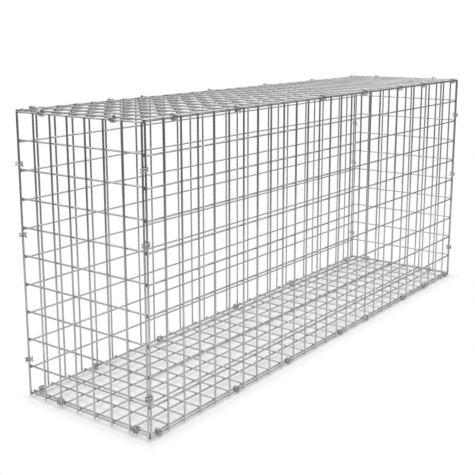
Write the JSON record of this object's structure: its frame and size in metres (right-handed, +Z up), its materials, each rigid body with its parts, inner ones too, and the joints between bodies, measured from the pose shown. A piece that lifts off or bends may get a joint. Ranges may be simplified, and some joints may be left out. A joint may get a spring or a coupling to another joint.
{
  "type": "gabion basket",
  "caption": "Long rectangular cage of welded wire mesh with a closed mesh lid, its edges clipped together by spiral rings, made to be filled with stones.",
  "frame": {"origin": "under the middle of the basket, on the surface it stands on", "axes": "+X along the length, -Y out of the front long side, +Z up"},
  "size_m": [1.4212, 0.3612, 0.6273],
  "materials": {
    "panel_wire": "dull galvanised zinc",
    "ring_wire": "bright galvanised zinc"
  },
  "bodies": {
    "root": {"base_panel": "panel_wire", "lid_panel": "panel_wire", "front_panel": "panel_wire", "back_panel": "panel_wire", "left_end_panel": "panel_wire", "right_end_panel": "panel_wire", "rings_front_bottom": "ring_wire", "rings_front_top": "ring_wire", "rings_back_bottom": "ring_wire", "rings_back_top": "ring_wire", "rings_left_bottom": "ring_wire", "rings_left_top": "ring_wire", "rings_right_bottom": "ring_wire", "rings_right_top": "ring_wire", "rings_left_front_corner": "ring_wire", "rings_left_back_corner": "ring_wire", "rings_right_front_corner": "ring_wire", "rings_right_back_corner": "ring_wire"}
  },
  "joints": []
}
